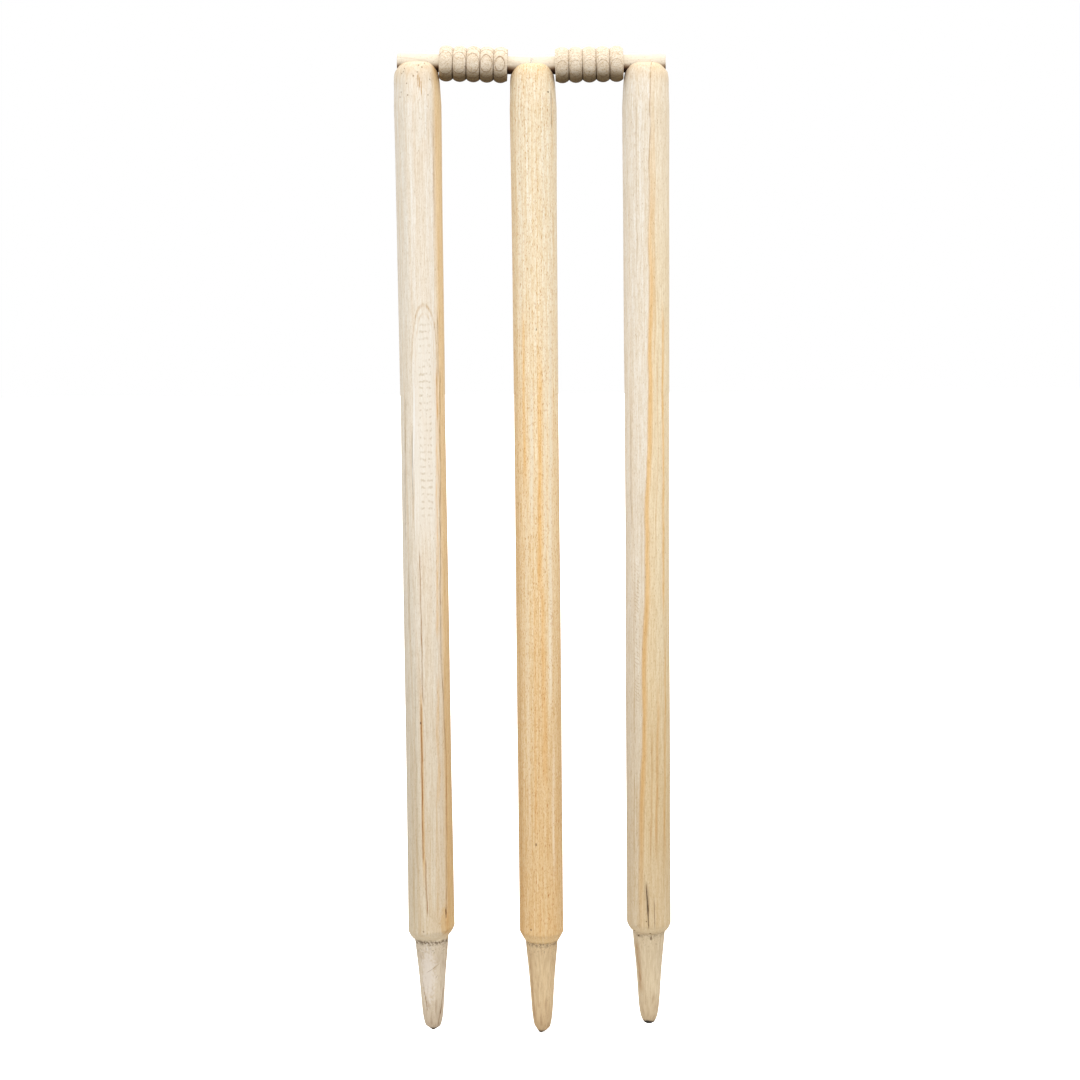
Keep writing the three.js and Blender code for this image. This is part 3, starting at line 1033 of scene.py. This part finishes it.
def add_heartwood(wood):
    """Yellow heartwood to the right of a leaning seam, deepest beside it, and pale sapwood to the left."""
    point = xyz(wood.tree, wood.given["Point"])
    wave = wood.fibres(width=40, length=90, detail=2.0)
    seam_place = wood.calc("MULTIPLY_ADD", point["Z"], 0.0175, wood.calc("MULTIPLY_ADD", wave, 2.6, -10))
    side = wood.calc("SUBTRACT", point["X"], seam_place)
    heart = wood.ease(side, -0.9, 0.9)
    strength = wood.part(wood.step("Height", 760, 500), wood.step("Height", -20, 150))
    wood.darken(paint(255, 247, 226), wood.part(heart, wood.calc("MULTIPLY_ADD", strength, 0.6, 0.4)))
    edge = wood.ease(apart(wood.tree, side, 1.8), 3.6, 0)
    wood.darken(paint(248, 216, 164), wood.part(edge, strength), 0.75)
    seam = wood.ease(apart(wood.tree, side, 0), 0.7, 0)
    split = wood.part(wood.step("Height", 600, 690), wood.fibres(width=1.5, length=10))
    wood.darken(paint(190, 154, 110), seam, wood.calc("MULTIPLY_ADD", split, 0.8, 0.2))
    wood.darken(paint(250, 252, 251), wood.ease(side, 0.9, -0.9), 0.4)


def add_right_streaks(wood):
    """Streaks along the front, cross marks at its left, and cracks and a smudge above the shoulder."""
    for row in (
        (paint(250, 214, 150), 14.6, 270, 560, 0.0, 2.4, 0.8),
        (paint(246, 216, 164), 15.8, 60, 280, 0.01, 2.2, 0.7),
        (paint(196, 176, 144), -15.3, 350, 480, 0.0, 1.3, 0.6),
        (paint(222, 204, 174), -13.0, 60, 330, 0.006, 1.4, 0.5),
        (paint(240, 204, 148), 7.5, 66, 240, 0.02, 2.2, 0.6),
        (paint(228, 196, 146), 8.4, 330, 520, 0.012, 1.2, 0.5),
        (paint(226, 208, 178), -5.0, 300, 420, 0.01, 1.2, 0.4),
        (paint(240, 210, 160), 6.5, 480, 700, 0.004, 1.6, 0.45),
        (paint(206, 186, 156), -8.5, 560, 735, 0.0, 0.9, 0.5),
        (paint(226, 196, 152), 2.4, 60, 210, 0.02, 1.6, 0.5),
    ):
        wood.streak(*row, wander=0.7, fade=40, broken=0.4)
    rungs = wood.use(LADDER, place=-10, half_width=3.2, low=200, high=340, step=3.2, slant=0.6)["Mask"]
    wood.darken(paint(214, 192, 158), rungs, 0.5)
    wood.streak(paint(130, 102, 70), -1.7, 24, 58, -0.04, 2.6, 0.9, wander=0.4, fade=8, broken=0.8)
    wood.streak(paint(96, 72, 46), -1.3, 13, 52, -0.042, 1.0, 0.9, wander=0.1, fade=5, broken=0.6)
    wood.streak(paint(146, 114, 76), 4.6, 11, 46, -0.016, 0.8, 0.7, wander=0.2, fade=9, broken=0.6)


def right_stump_wood():
    """Half pale sapwood and half yellow heartwood, with a drying crack above the shoulder."""
    neck, tip = spike_levels("right_stump")
    wood = stump_wood("right_stump", paint(200, 186, 162), paint(240, 234, 225))
    add_heartwood(wood)
    wood.rings(paint(240, 216, 176), 0.16, faintest=0.3, pith_side=64.0, pith_back=-6.0, lean_side=0.017,
               ring_width=3.0, waviness=1.5)
    add_grain(wood, paint(251, 243, 230), paint(232, 219, 198), paint(228, 214, 188), 0.32)
    add_right_streaks(wood)
    pore = wood.pores(paint(192, 160, 114), spacing=1.25, length=6, size=0.2, share=0.45, amount=0.6)
    painted_shoulder_light(wood, neck, paint(222, 202, 166))
    soiled_spike(wood, neck, tip, paint(203, 188, 160), paint(164, 130, 86), soil_amount=0.35)
    for row in (
        (-14.5, 10.4, 1.6, 0.9), (0.9, 9.4, 1.2, 0.9), (-2.5, 21, 0.8, 1.0), (1.6, 4.6, 0.9, 2.2),
        (-9.6, 6.2, 1.4, 1.2),
    ):
        wood.spot(paint(110, 84, 54), *row, amount=0.8)
    wood.streak(paint(196, 160, 116), -10.0, -50, 6, -0.1, 4.0, 0.7, wander=0.5, fade=12, broken=0.4)
    wood.spot(paint(24, 18, 12), -1.8, tip, 7.5, 5.2, 1.0, blend="MIX", ragged=0.1)
    return turned_finish(wood, pore)


def add_bail_rings(wood, front, facing, depth, lean, width, amount):
    """Flat growth rings that the ribs cut into ovals. Their pith lies far behind, and facing tips them up."""
    rings = wood.use(GROWTH_RINGS, pith_side=-front * depth * math.cos(facing), lean_side=front * lean,
                     pith_back=-depth * math.sin(facing), ring_width=width, waviness=0.3)
    strength = wood.calc("MULTIPLY_ADD", rings["Ring Tone"], 0.3, 0.7)
    late = wood.ease(rings["Late Wood"], 0.45, 0.8)
    broken = wood.calc("MULTIPLY_ADD", wood.fibres(width=0.9, length=3.0), 0.6, 0.4)
    wood.darken(paint(152, 120, 80), wood.part(late, strength, broken), amount)


def add_bail_painted_shade_and_wear(wood):
    """Painted shade in the valleys, deepest on their lower side, and over the bail's underside; the spigots
    browned underneath where they rub in the grooves, partly wear and partly painted shade, with painted
    contact shadow next to the barrel's ends.
    """
    upward = xyz(wood.tree, wood.given["Point"])["Y"]
    # Painted shade in the valleys between the ribs, stronger towards the lower side
    valley_shade = wood.part(wood.step("Girth", *VALLEY_GIRTH), wood.between("Height", *BARREL_ENDS, fade=1.0))
    lower_shade = wood.calc("MULTIPLY_ADD", wood.ease(upward, 6, -6), 0.75, 0.25)
    wood.darken(paint(112, 88, 58), wood.part(valley_shade, lower_shade), 0.95)
    # Painted shade: the underside of the bail laid darker
    wood.darken(paint(158, 146, 122), wood.ease(upward, -2, -12))
    spigot = wood.step("Girth", *SPIGOT_GIRTH)
    wood.lay(paint(214, 203, 184), spigot, 0.7)
    # Under the spigots, where they lie in the grooves: partly wear and partly painted shade
    under = wood.part(spigot, wood.ease(upward, 0.5, -5.5))
    wood.darken(paint(222, 178, 118), under, 0.8)
    # Painted contact shadow on the spigots' undersides next to the barrel's ends
    for far, near in ((11, 18.5), (86, 76)):
        wood.darken(paint(120, 86, 48), wood.part(wood.step("Height", far, near), under), 0.95)


def bail_wood(name, speck_share, **rings):
    """Greyish cream, blotched and specked."""
    wood = Wood(name + "_wood", bail_matrix(name).inverted())
    wood.colour = paint(228, 217, 200)
    add_bail_rings(wood, 1 if name == "left_bail" else -1, **rings)
    wood.darken(paint(228, 214, 192), wood.fibres(width=0.9, length=20), 0.5)
    wood.darken(paint(236, 229, 218), wood.fibres(width=4, length=9), 0.5)
    flecks = wood.fibres(width=0.9, length=1.4, detail=2.0)
    wood.darken(paint(220, 204, 178), wood.ease(flecks, 0.4, 1.0), 0.8)
    add_bail_painted_shade_and_wear(wood)
    pore = wood.pores(paint(184, 160, 128), spacing=1.2, length=2.4, size=0.24, share=0.45, amount=0.65)
    wood.pores(paint(112, 88, 60), spacing=2.6, length=2.6, size=0.24, share=speck_share, amount=0.8)
    return turned_finish(wood, pore)


# Studio

CAMERA_PLACE = Vector((0.03904, -2.1, 0.66578))
CAMERA_YAW = math.radians(-1.01)
CAMERA_PITCH = math.radians(8.59)
CAMERA_ROLL = math.radians(-0.58)
CAMERA_LENS = 84.017
SENSOR_WIDTH = 36

FLOOR_HALF = 6
FLOOR_TONE = (0.9, 0.9, 0.9)
FLOOR_GLOW = 0.7
MAT_HALF = 0.3
MAT_TONE = (0.5, 0.48, 0.45)
GROUND_ROUGHNESS = 0.9

KEY_PLACE = Vector((0.3, -3.2, 4.2))
KEY_AIM = Vector((0, 0, 0.5))
KEY_WIDTH = 3.5
KEY_HEIGHT = 2.0
KEY_POWER = 87

SKY_FOOT = -0.12
SKY_TOP = 0.2
SKY_GLOW = 1.45
SKY_FLOOR_GLOW = 0.25


def add_camera():
    camera = add_object("camera", bpy.data.cameras.new("camera"))
    camera.data.lens = CAMERA_LENS
    camera.data.sensor_width = SENSOR_WIDTH
    turn = (Matrix.Rotation(-CAMERA_YAW, 4, "Z") @ Matrix.Rotation(math.pi / 2 - CAMERA_PITCH, 4, "X")
            @ Matrix.Rotation(CAMERA_ROLL, 4, "Z"))
    camera.matrix_world = Matrix.Translation(CAMERA_PLACE) @ turn
    bpy.context.scene.camera = camera


def add_ground(name, half, level, tone, glow):
    """A flat square of the studio floor."""
    shape = bmesh.new()
    bmesh.ops.create_grid(shape, x_segments=1, y_segments=1, size=half)
    bmesh.ops.translate(shape, verts=shape.verts, vec=(0, 0, level))
    mesh = mesh_of(name, shape)
    material = bpy.data.materials.new(name + "_paint")
    material.use_nodes = True
    shader = material.node_tree.nodes["Principled BSDF"]
    shader.inputs["Base Color"].default_value = (*tone, 1)
    shader.inputs["Roughness"].default_value = GROUND_ROUGHNESS
    shader.inputs["Emission Color"].default_value = (1, 1, 1, 1)
    shader.inputs["Emission Strength"].default_value = glow
    mesh.materials.append(material)
    ground = add_object(name, mesh)
    return ground


def add_floor():
    """A pale floor that the camera sees, and a grey mat that only throws light back up at the feet."""
    floor = add_ground("floor", FLOOR_HALF, cad_box[0].z, FLOOR_TONE, FLOOR_GLOW)
    floor.visible_diffuse = False
    floor.visible_glossy = False
    floor.visible_shadow = False
    mat = add_ground("foot_mat", MAT_HALF, cad_box[0].z - MM, MAT_TONE, 0.0)
    mat.visible_camera = False


def add_key_light():
    light = bpy.data.lights.new("key", "AREA")
    light.shape = "RECTANGLE"
    light.size = KEY_WIDTH
    light.size_y = KEY_HEIGHT
    light.energy = KEY_POWER
    lamp = add_object("key", light)
    lamp.location = KEY_PLACE
    lamp.rotation_euler = (KEY_AIM - KEY_PLACE).to_track_quat("-Z", "Y").to_euler()


def add_sky():
    """Even light from all round, from a little above the floor upwards, and plain white behind the object."""
    world = bpy.data.worlds.new("studio")
    bpy.context.scene.world = world
    world.use_nodes = True
    tree = world.node_tree
    rise = xyz(tree, place(tree, "ShaderNodeTexCoord").outputs["Generated"])["Z"]
    glow = calc(tree, "MULTIPLY_ADD", eased_step(tree, rise, SKY_FOOT, SKY_TOP), SKY_GLOW, SKY_FLOOR_GLOW)
    seen = place(tree, "ShaderNodeLightPath").outputs["Is Camera Ray"]
    shown = place(tree, "ShaderNodeMix", {0: seen, 2: glow, 3: 1.0}).outputs[0]
    join(tree, tree.nodes["Background"].inputs["Strength"], shown)
    tree.nodes["Background"].inputs["Color"].default_value = (1, 1, 1, 1)


add_camera()
add_floor()
add_sky()
add_key_light()
bpy.context.scene.view_settings.view_transform = "Standard"

add_stump("left_stump", left_stump_wood(), seed=1.0)
add_stump("middle_stump", middle_stump_wood(), seed=4.0)
add_stump("right_stump", right_stump_wood(), seed=7.0)
add_bail("left_bail", bail_wood(
    "left_bail", speck_share=0.06, facing=math.radians(3), depth=160.0, lean=-0.045, width=3.5, amount=1.0))
add_bail("right_bail", bail_wood(
    "right_bail", speck_share=0.2, facing=math.radians(-15), depth=157.9, lean=-0.012, width=2.2, amount=0.6))
